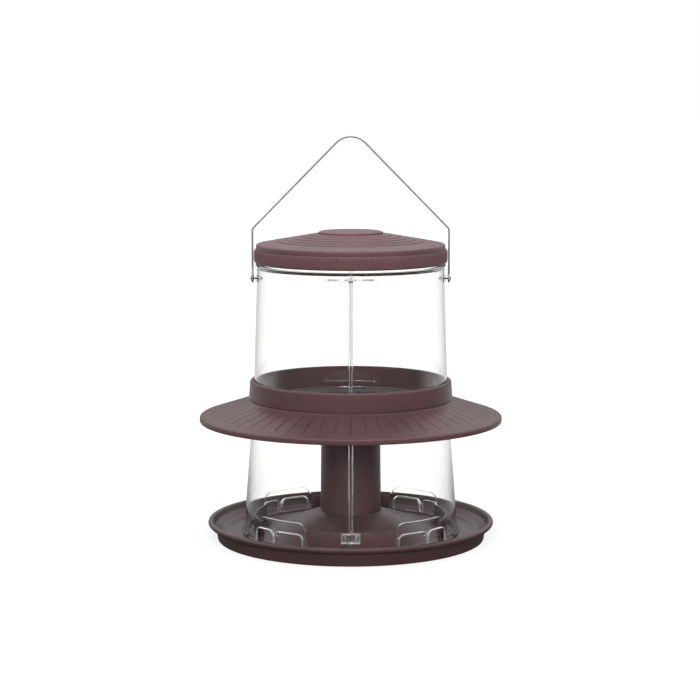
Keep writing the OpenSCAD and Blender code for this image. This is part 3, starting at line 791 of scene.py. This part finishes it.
def build_fittings(side, name):
    """One half's pivot boss with its web, thread stretches and clip studs."""
    soup = Soup()
    boss = Soup()
    boss_end = SHELL_TOP_R + 0.9
    bore = PIN_R + 0.05
    lathe(boss, rounded([(bore, BOSS_START), (BOSS_R, BOSS_START), (BOSS_R, boss_end), (JOURNAL_R, boss_end),
                         (JOURNAL_R, JOURNAL_END), (JOURNAL_R + 0.6, JOURNAL_END),
                         (JOURNAL_R + 0.2, JOURNAL_END + 0.7), (bore, JOURNAL_END + 0.7)],
                        (0.1, 0.5, 0.4, 0.2, 0.05, 0.2, 0.25, 0.1)), 48)
    soup.join(boss, sideways(side), side < 0)
    x0, x1 = sorted((side * BOSS_START, side * (SHELL_TOP_R - 1.2)))
    block(soup, (x0, -2.5, PIVOT_Z + 2), (x1, 2.5, SHOULDER_Z - 2.8), 0.4, tuple)
    section = rounded([(NECK_R - 0.5, -1.1), (NECK_R + 1.6, -0.5), (NECK_R + 1.6, 0.5), (NECK_R - 0.5, 1.1)],
                      (0, 0.35, 0.35, 0), 3)
    for start in (0, 180):
        for turn in range(0, 360, 60):
            if (cos(radians(start + turn)) > 0) == (side > 0):
                z = THREAD_Z + THREAD_LEAD * (turn + 30) / 360
                thread_stretch(soup, section, 22, 16, 2.0, start + turn, z, NECK_R)
    reach = shell_radius(CLIP_Z)
    for face in (-1, 1):
        stud = Soup()
        lathe(stud, rounded(rectangle(0, reach - 1.4, STUD_R, reach + 3.6), (0, 0, 0.6, 0)), 32)
        mid = (CLIP_Z + CLIP_TOP) / 2
        soup.join(stud, lambda v: (side * STUD_X + v[0], face * v[2], mid + v[1] * face))
    extra_piece = make_object(name + "_bosses", soup, CLEAR_MATERIAL, "feeder")


def shell_finish(angle, next_angle, z):
    """Material slots of the outer and the inner face of one cell of the hopper's wall."""
    from_seam = min(next_angle, 180.0 - angle)
    below_shoulder = SHOULDER_Z - z
    # the step and seam slots paint dark lines (painted shade) at the shoulder step, along the seams and
    # round the raised panels' outlines; the edge slot beside the seams is frosted as painted highlight
    if below_shoulder < 1.5:
        return (STEP_SLOT if 0.1 < below_shoulder < 0.75 else NECK_SLOT), NECK_SLOT
    if from_seam <= SEAM_FLANK:
        return CLEAR_SLOT, (SEAM_SLOT if from_seam <= SEAM_LINE else EDGE_SLOT)
    if 0.12 < hood_offset(angle, z) / HOOD_OUT < 0.88:
        return CLEAR_SLOT, STEP_SLOT
    return CLEAR_SLOT, CLEAR_SLOT


def build_hopper_half(side):
    """One clear half shell as a closed grid of outer and inner faces, with four windows let in."""
    rows, columns = shell_rows(), shell_columns()
    n_rows, n_cols = len(rows), len(columns)
    heights = [row[1] for row in rows]
    inner = n_rows * n_cols

    def plan(angle, r, z):
        # the seam faces lie a hair apart
        x, y, z = around(radians(angle), r, z)
        return (side * max(x, SEAM_GAP), y, z)

    def hood(angle, z):
        return hood_offset(angle, z) * smooth_step(*HOOD_FOOT, z)

    verts = [plan(a, r_out + hood(a, z_out), z_out) for r_out, z_out, _, _ in rows for a in columns]
    verts += [plan(a, r_in + hood(a, z_in) - inner_offset(a, z_in, r_in), z_in)
              for _, _, r_in, z_in in rows for a in columns]

    # cells that the windows take
    taken = set()
    windows = []
    for middle, width in PORTS:
        reach = degrees((width / 2 + 1.0) / SHELL_FOOT_R)
        i0 = min(i for i, a in enumerate(columns) if a >= middle - reach)
        i1 = max(i for i, a in enumerate(columns) if a <= middle + reach)
        j0 = min(j for j, z in enumerate(heights)
                 if z > WINDOW_SILL - 0.3 and rows[j][0] < SHELL_FOOT_R + 0.1)
        j1 = max(j for j, z in enumerate(heights) if z <= WINDOW_TOP + 1.0)
        taken |= {(j, i) for j in range(j0, j1) for i in range(i0, i1)}
        windows.append((middle, width, i0, i1, j0, j1))

    faces, slots = [], []
    for j in range(n_rows - 1):
        for i in range(n_cols - 1):
            if (j, i) not in taken:
                a, b = j * n_cols + i, (j + 1) * n_cols + i
                faces += [(a, a + 1, b + 1, b), (inner + b, inner + b + 1, inner + a + 1, inner + a)]
                slots += shell_finish(columns[i], columns[i + 1], heights[j])
    # the two seam faces, the foot and the rim
    for j in range(n_rows - 1):
        a, b = j * n_cols, (j + 1) * n_cols
        faces.append((a, b, inner + b, inner + a))
        a, b = a + n_cols - 1, b + n_cols - 1
        faces.append((b, a, inner + a, inner + b))
    for i in range(n_cols - 1):
        faces.append((i + 1, i, inner + i, inner + i + 1))
        a = (n_rows - 1) * n_cols + i
        faces.append((a, a + 1, inner + a + 1, inner + a))

    # each window: layers of points from the cells' border in to the opening and through the wall
    mid_z = (WINDOW_SILL + WINDOW_TOP) / 2
    for middle, width, i0, i1, j0, j1 in windows:
        border = [(j0, i) for i in range(i0, i1)] + [(j, i1) for j in range(j0, j1)]
        border += [(j1, i) for i in range(i1, i0, -1)] + [(j, i0) for j in range(j1, j0, -1)]
        rays = [(radians(columns[i] - middle) * shell_radius(heights[j]), heights[j] - mid_z)
                for j, i in border]
        loops = [[j * n_cols + i for j, i in border]]
        for grow, out in WINDOW_EDGE:
            loops.append(range(len(verts), len(verts) + len(rays)))
            for ray in rays:
                x, z = window_outline_point(ray, width / 2 + grow, WINDOW_SILL - grow * 0.5,
                                            WINDOW_TOP + grow, WINDOW_CORNER + grow)
                r = shell_radius(z)
                angle = middle + degrees(x / r)
                verts.append(plan(angle, r + hood_offset(angle, z) + out, z))
        loops.append([inner + v for v in loops[0]])
        for a, b in zip(loops, loops[1:]):
            for k in range(len(border)):
                n = (k + 1) % len(border)
                faces.append((a[k], a[n], b[n], b[k]))

    soup = Soup()
    soup.add(verts, flipped(faces) if side < 0 else faces)
    name = "hopper_right" if side > 0 else "hopper_left"
    piece = make_object(name + "_shell", soup, CLEAR_MATERIAL, "feeder", 50.0)
    for material in (EDGE_MATERIAL, SEAM_MATERIAL, STEP_MATERIAL, NECK_MATERIAL):
        piece.data.materials.append(material)
    for index, slot in enumerate(slots):
        piece.data.polygons[index].material_index = slot
    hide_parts(name)
    build_window_lips(side, name)
    build_fittings(side, name)


def build_seam_clips():
    """The clips over the seams' feet: a plate each, with raised rails along its edges."""
    base = shell_radius(CLIP_Z) + 0.15
    plates, rails = Soup(), Soup()
    for face in (-1, 1):
        def place(p):
            return (p[0], face * p[1], p[2])
        plate, rail = Soup(), Soup()
        block(plate, (-CLIP_HALF, base, CLIP_Z), (CLIP_HALF, base + 3, CLIP_TOP), 0.5, place)
        for z in (CLIP_Z, CLIP_TOP - CLIP_RAIL):
            block(rail, (-CLIP_HALF, base + 2.6, z), (CLIP_HALF, base + 4.6, z + CLIP_RAIL), 0.4, place)
        for x in (-CLIP_HALF, CLIP_HALF - CLIP_RAIL):
            block(rail, (x, base + 2.6, CLIP_Z + 1), (x + CLIP_RAIL, base + 4.2, CLIP_TOP - 1), 0.4, place)
        plates.join(plate, flip=face < 0)
        rails.join(rail, flip=face < 0)
    piece = make_object("seam_clip_pair", plates, CLEAR_MATERIAL, "feeder")
    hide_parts("seam_clips")
    # the rails take the frosted edge plastic, whitened as painted highlight
    piece = make_object("seam_clip_rails", rails, EDGE_MATERIAL, "feeder")


# ---- baffle ----

def build_baffle():
    """Collar and brim as one turned skin whose upper face dips in narrow radial grooves."""
    foot = COLLAR_OUT_R + 1.6
    top_z, edge_z = WAIST_Z + 1.0, BRIM_Z + BRIM_EDGE_H
    run, drop = BRIM_R - 1.6 - foot, edge_z - top_z
    length = dist((foot, top_z), (BRIM_R - 1.6, edge_z))
    normal = (-drop / length, run / length)
    groove_from, groove_to = 1.8, length - 11.4
    rise, end = (groove_from - 0.4, groove_from + 0.3), (groove_to - 0.5, groove_to + 0.3)
    marks = [0.0, groove_from - 0.4, groove_from, groove_from + 0.6]
    marks += list(np.linspace(groove_from + 3, groove_to - 3, 9))
    marks += [groove_to - 0.8, groove_to - 0.2, groove_to + 0.3, groove_to + 6, length - 2.2]
    upper = rounded([(COLLAR_IN_R, WAIST_Z), (COLLAR_IN_R - 1.3, COLLAR_Z), (COLLAR_IN_R, COLLAR_TOP),
                     (COLLAR_OUT_R - 2.6, COLLAR_TOP), (COLLAR_OUT_R - 1.4, COLLAR_TOP - 1.6),
                     (COLLAR_OUT_R, WAIST_Z + 3.2)], (0.3, 0.4, 0.3, 0.8, 1.2, 1.5))
    # the edge rolls over from the upper face to its foot
    seat = SHELL_WAIST_R + 1.6
    fall = drop / run
    under = rounded([(BRIM_R - 3.4, edge_z - fall * 1.8), (BRIM_R, edge_z + fall * 1.6), (BRIM_R, BRIM_Z),
                     (BRIM_R - 1.8, BRIM_Z), (BRIM_R - 2.2, edge_z - BAFFLE_T), (foot, top_z - BAFFLE_T),
                     (seat, top_z - BAFFLE_T), (seat, WAIST_Z + 0.05)],
                    (0.2, 4.2, 0.9, 0.5, 0.5, 1.0, 0.2, 0.2), 6)
    rows = [(r, z, None) for r, z in upper]
    rows += [(foot + run * (mark / length), top_z + drop * (mark / length), mark) for mark in marks]
    rows += [(r, z, None) for r, z in under]
    columns = [(2 * pi * g / GROOVES, o) for g in range(GROOVES) for o in GROOVE_OFFSETS]
    verts = []
    for r, z, mark in rows:
        for middle, offset in columns:
            # points beside a groove keep their distance from it along the whole brim
            t = middle + (offset / r if abs(offset) < 1.5 else offset * pi / GROOVES / 3.2)
            along = 0.0 if mark is None else plateau(rise, end, mark)
            dip = GROOVE_DEPTH * along * (1 - smooth_step(0.35, 0.8, abs(offset)))
            verts.append(around(t, r - normal[0] * dip, z - normal[1] * dip))
    soup = Soup()
    soup.add(verts, ring_faces(len(rows), len(columns), True, True))
    piece = make_object("baffle_skirt", soup, BAFFLE_MATERIAL, "feeder")
    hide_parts("baffle")


# ---- lid ----

def build_lid_cap():
    """Stepped conical cap with a middle disc, a plain band and a skirt that snaps into the ring."""
    soup = Soup()
    edge = RING_TOP + BAND_H
    disc_z = edge + CAP_RISE
    disc_foot = DISC_R + 6
    seat = RING_TOP + CAP_GAP
    skirt = RING_R - 4.1
    step_in, step_out = DISC_R + 9.5, CAP_R - 22.6
    width = (step_out - step_in) / (CAP_STEPS - 1)
    slope = CAP_RISE / (CAP_R - DISC_R - 7.2)
    outline = [(0, disc_z - CAP_T), (0, CAP_TOP), (DISC_R - 3, CAP_TOP), (DISC_R, CAP_TOP - 1.0),
               (DISC_R, disc_z + 0.1), (disc_foot, disc_z)]
    radii = [0, 0, 2.0, 0.9, 0.4, 1.0]
    for i in range(CAP_STEPS):
        r = step_in + i * width
        z = disc_z - (r - disc_foot) * slope
        out_r = r + width * 0.55
        z_out = disc_z - (out_r - disc_foot) * slope
        outline += [(r, z), (r, z - CAP_STEP_H), (out_r, z - CAP_STEP_H - 0.05), (out_r + 0.05, z_out)]
        radii += [0.35, 0.15, 0.0, 0.0]
    outline += [(CAP_R - 1.2, edge), (CAP_R, edge - 1.2), (CAP_R, seat), (skirt, seat),
                (skirt, RING_TOP - 1.8), (skirt + 0.6, RING_TOP - 2.4), (skirt + 0.6, RING_TOP - 3.0),
                (skirt, RING_TOP - 3.6), (skirt, RING_TOP - 4.2), (skirt - 1.7, RING_TOP - 4.2),
                (skirt - 1.7, edge - CAP_T + 0.6), (CAP_R - 5.6, edge - CAP_T + 0.9)]
    radii += [1.2, 0.8, 0.2, 0.2, 0.2, 0.2, 0.2, 0.2, 0.3, 0.3, 0.6, 0.6]
    # a low ring below the cap lands on the neck's rim
    land, land_z = NECK_R - 0.2, NECK_TOP + 0.3
    under = edge - CAP_T + 1.3
    outline += [(land, under), (land, land_z), (land - 2, land_z), (land - 2, under + 0.3),
                (disc_foot, disc_z - CAP_T)]
    radii += [0.4, 0.4, 0.4, 0.4, 3.0]
    lathe(soup, split_long(rounded(outline[::-1], radii[::-1], 3), 8.0), 256)
    piece = make_object("lid_cap_top", soup, LID_MATERIAL, "cap", 30.0)
    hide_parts("lid_cap")


def build_lid_ring():
    """Grip ring: rounded vertical ribs that fade out at its edges, and lugs that run in the thread."""
    root = RING_R - RIB_OUT
    groove = RING_BORE + 0.8
    outline = rounded([(RING_BORE, RING_Z), (root - 0.9, RING_Z), (root, RING_Z + 1.4),
                       (root, RING_TOP - 0.3), (root - 0.25, RING_TOP),
                       (RING_BORE, RING_TOP), (RING_BORE, RING_TOP - 1.3),
                       (groove, RING_TOP - 1.9), (groove, RING_TOP - 3.4), (RING_BORE, RING_TOP - 4.0)],
                      (0.4, 0.8, 0.8, 0.4, 0.5, 0.3, 0.2, 0.2, 0.2, 0.2), 3)
    outline = split_long(outline, 2.5)
    count = RIBS * RIB_POINTS
    verts = []
    for r, z in outline:
        fade = 0.0
        if r > root - 0.4:
            fade = plateau((RING_Z + 1.0, RING_Z + 2.4), (RING_TOP - 0.8, RING_TOP - 0.3), z)
        for k in range(count):
            wave = 0.5 + 0.5 * cos(2 * pi * k / RIB_POINTS)
            verts.append(around(2 * pi * k / count, r + RIB_OUT * fade * wave ** 0.6, z))
    soup = Soup()
    soup.add(verts, ring_faces(len(outline), count, True, True))
    tip, root_r = NECK_R + 0.6, RING_BORE + 0.5
    section = rounded([(tip, -0.5), (root_r, -1.1), (root_r, 1.1), (tip, 0.5)], (0.3, 0, 0, 0.3), 3)
    for polar in range(30, 360, 90):
        # the thread has two starts, half a lead apart
        z = THREAD_Z + THREAD_LEAD * (polar + 30) / 360 + THREAD_LEAD / 4
        z -= THREAD_LEAD / 2 if polar > 180 else 0
        thread_stretch(soup, section, 13, 10, 1.2, polar, z, RING_BORE)
    piece = make_object("lid_grip_ring", soup, LID_MATERIAL, "ring", 40.0)
    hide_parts("lid_ring")


# ---- bail ----

def arc_points(centre, radius, start, end, count):
    """Points of an arc in the bail's plane, by polar angle in degrees from +X."""
    turns = [radians(a) for a in np.linspace(start, end, count)]
    return [(centre[0] + radius * cos(t), centre[1] + radius * sin(t)) for t in turns]


def bail_side():
    """The bail's line from its peak down the +X side to the wire's tail, as (x, y, z) points."""
    centre = (0.0, BAIL_TOP - WIRE_R - 0.03 - PEAK_R)
    reach = dist((BAIL_HALF, BEND_Z), centre)
    slope = degrees(atan2(centre[1] - BEND_Z, BAIL_HALF) + asin(PEAK_R / reach))
    cut = BEND_R * tan(radians(90 - slope) / 2)
    flat = arc_points(centre, PEAK_R, 90, 90 - slope, 14)
    bend = arc_points((BAIL_HALF - BEND_R, BEND_Z - cut), BEND_R, 90 - slope, 0, 10)
    (x0, z0), (x1, z1) = flat[-1], bend[0]
    flat += [(x0 + (x1 - x0) * k / 8, z0 + (z1 - z0) * k / 8) for k in range(1, 8)]
    flat += bend
    leg_end = PIVOT_Z + 14
    flat += [(BAIL_HALF, z) for z in np.linspace(bend[-1][1] - 4, leg_end, 6)]
    line = [(x, 0.0, z) for x, z in flat]
    # the leg eases over to one side of the eye, and the wire closes round the journal
    for k in range(1, 9):
        t = k / 8
        line.append((BAIL_HALF, EYE_R * smooth_step(0, 1, t), leg_end + (PIVOT_Z + 0.5 - leg_end) * t))
    for a in np.linspace(0, -EYE_TURN, 30)[1:]:
        t = radians(a)
        x = BAIL_HALF - 0.35 * abs(a) / EYE_TURN
        line.append((x, EYE_R * cos(t), PIVOT_Z + EYE_R * sin(t)))
    return line


def build_bail():
    right = bail_side()
    left = [(-x, -y, z) for x, y, z in right]
    soup = Soup()
    tube(soup, left[::-1] + right[1:], WIRE_R, 16)
    piece = make_object("bail_wire", soup, WIRE_MATERIAL, "bail", 60.0)
    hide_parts("bail")


def build_pins():
    """A thin pin through each journal, with a flat head outside and a push nut inside."""
    soup = Soup()
    head = JOURNAL_END + 0.75
    nut_in, nut_out = BOSS_START - 1.55, BOSS_START - 0.05
    outline = rounded([(0, nut_in - 1), (PIN_R, nut_in - 1), (PIN_R, nut_in), (PIN_NUT_R, nut_in),
                       (PIN_NUT_R, nut_out), (PIN_R, nut_out), (PIN_R, head), (PIN_HEAD_R, head),
                       (PIN_HEAD_R - 0.3, head + 0.5), (0, head + 0.5)],
                      (0, 0.2, 0, 0.2, 0.2, 0, 0, 0.1, 0.2, 0))
    for side in (-1, 1):
        pin = Soup()
        lathe(pin, outline, 40)
        soup.join(pin, sideways(side), side < 0)
    piece = make_object("bail_pin_pair", soup, PIN_MATERIAL, "feeder")
    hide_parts("bail_pins")


# ---- studio ----

def white_level(tree, through_plastic, direct=1.0):
    """A strength, a little higher for what is seen through the clear plastic, to make up for its loss."""
    transmission = add_node(tree, "LightPath").outputs["Is Transmission Ray"]
    return map_range(tree, transmission, (direct, through_plastic))


def mirrored(tree, direct, reflection):
    """A shader that is one thing where it is seen directly and another where it is seen in a reflection."""
    return mix_shaders(tree, add_node(tree, "LightPath").outputs["Glossy Depth"], direct, reflection)


def seen_rays(tree):
    """1 for rays from the camera, off gloss and through plastic, 0 for the rays that light the object."""
    path = add_node(tree, "LightPath").outputs

    def maths(operation, first, second):
        return add_node(tree, "Math", {0: first, 1: second}, operation).outputs[0]

    seen = maths("MAXIMUM", path["Is Camera Ray"], path["Is Glossy Ray"])
    seen = maths("MAXIMUM", seen, path["Is Transmission Ray"])
    return maths("MULTIPLY", seen, maths("LESS_THAN", path["Diffuse Depth"], 0.5))


def along_axis(tree, coords, axis, to, span):
    """A value that runs over a range along one axis of the given coordinates."""
    return map_range(tree, add_node(tree, "SeparateXYZ", {0: coords}).outputs[axis], to, span)


def build_floor():
    """A pale floor that the camera, gloss and clear plastic see as white, with the object's soft shadow."""
    mesh = bpy.data.meshes.new("floor")
    reach = 8.0
    corners = [(-reach, -reach, 0), (reach, -reach, 0), (reach, reach, 0), (-reach, reach, 0)]
    mesh.from_pydata(corners, [], [(0, 1, 2, 3)])
    floor = new_object("floor", mesh)
    floor.location.z = -0.0002
    material, tree, shader = new_material("floor_white")
    tree.nodes.remove(shader)
    plain = add_node(tree, "BsdfDiffuse", {"Color": (0.3, 0.29, 0.29, 1)}).outputs[0]
    faint = add_node(tree, "BsdfDiffuse", {"Color": (0.3, 0.3, 0.3, 1)}).outputs[0]
    # the glow is a little lower round the object, so that its shadow stays, and full white further away
    coords = add_node(tree, "TexCoord").outputs["Object"]
    away = add_node(tree, "VectorMath", {0: coords}, "LENGTH").outputs["Value"]
    level = white_level(tree, 1.1, map_range(tree, away, (0.8, 1.0), (0.2, 0.7)))
    glow = add_node(tree, "Emission", {"Strength": level}).outputs[0]
    seen = add_node(tree, "AddShader", {0: faint, 1: glow}).outputs[0]
    # reflections see it dim in front, as in a dark studio, and pale behind
    depth = along_axis(tree, coords, "Y", (0.1, 0.75), (0.0, 0.6))
    dull = add_node(tree, "Emission", {"Strength": depth}).outputs[0]
    mix = mix_shaders(tree, seen_rays(tree), plain, mirrored(tree, seen, dull))
    feed(tree, tree.nodes["Material Output"], {"Surface": mix})
    mesh.materials.append(material)


def build_world():
    world = bpy.data.worlds.new("studio")
    bpy.context.scene.world = world
    world.use_nodes = True
    tree = world.node_tree
    soft = tree.nodes["Background"]
    feed(tree, soft, {"Color": (1.0, 0.99, 0.985, 1), "Strength": 0.42})
    white = add_node(tree, "Background", {"Color": (1, 1, 1, 1), "Strength": white_level(tree, 1.25)})
    # reflections see a studio that is dim near the floor and bright above
    coords = add_node(tree, "TexCoord").outputs["Generated"]
    rise = along_axis(tree, coords, "Z", (0.38, 1.45), (0.1, 0.45))
    studio = add_node(tree, "Background", {"Strength": rise})
    shown = mirrored(tree, white.outputs[0], studio.outputs[0])
    mix = mix_shaders(tree, seen_rays(tree), soft.outputs[0], shown)
    feed(tree, tree.nodes["World Output"], {"Surface": mix})


LAMPS_AIM = (0.0, 0.0, 0.2)


def area_light(name, location, size, power):
    """A rectangular lamp that points at the object's middle, in metres."""
    data = bpy.data.lights.new(name, "AREA")
    data.shape = "RECTANGLE"
    data.size, data.size_y = size
    data.energy = power
    light = new_object(name, data)
    light.location = location
    ahead = unit(np.array(LAMPS_AIM) - np.array(location))
    light.rotation_euler = (acos(-ahead[2]), 0.0, atan2(ahead[1], ahead[0]) - pi / 2)
    return light


def build_lights():
    area_light("top_box", (0.0, -0.3, 1.9), (1.6, 1.6), 14.0)
    # the front lamp gives no mirror image, which would turn the lid white when seen from behind
    front = area_light("front_box", (0.0, -2.6, 1.0), (1.1, 0.6), 46.0)
    front.visible_glossy = False
    area_light("left_box", (-1.9, -0.5, 1.3), (0.7, 1.2), 2.0)
    area_light("right_box", (1.9, -0.4, 1.3), (0.7, 1.2), 1.5)


def build_camera():
    """The photograph's view: a long lens, slightly above the lid's height, tilted down."""
    data = bpy.data.cameras.new("view")
    data.sensor_width = 36.0
    data.lens = 109.4
    camera = new_object("view", data)
    camera.location = (-0.0008, -2.3, 0.505)
    camera.rotation_euler = (radians(90 - 7.37), 0.0, 0.0)
    bpy.context.scene.camera = camera


build_camera()
build_tray()
build_column()
for half_side in (-1, 1):
    build_hopper_half(half_side)
build_seam_clips()
build_baffle()
build_lid_cap()
build_lid_ring()
build_bail()
build_pins()
build_floor()
build_world()
build_lights()
bpy.context.scene.view_settings.view_transform = "Standard"
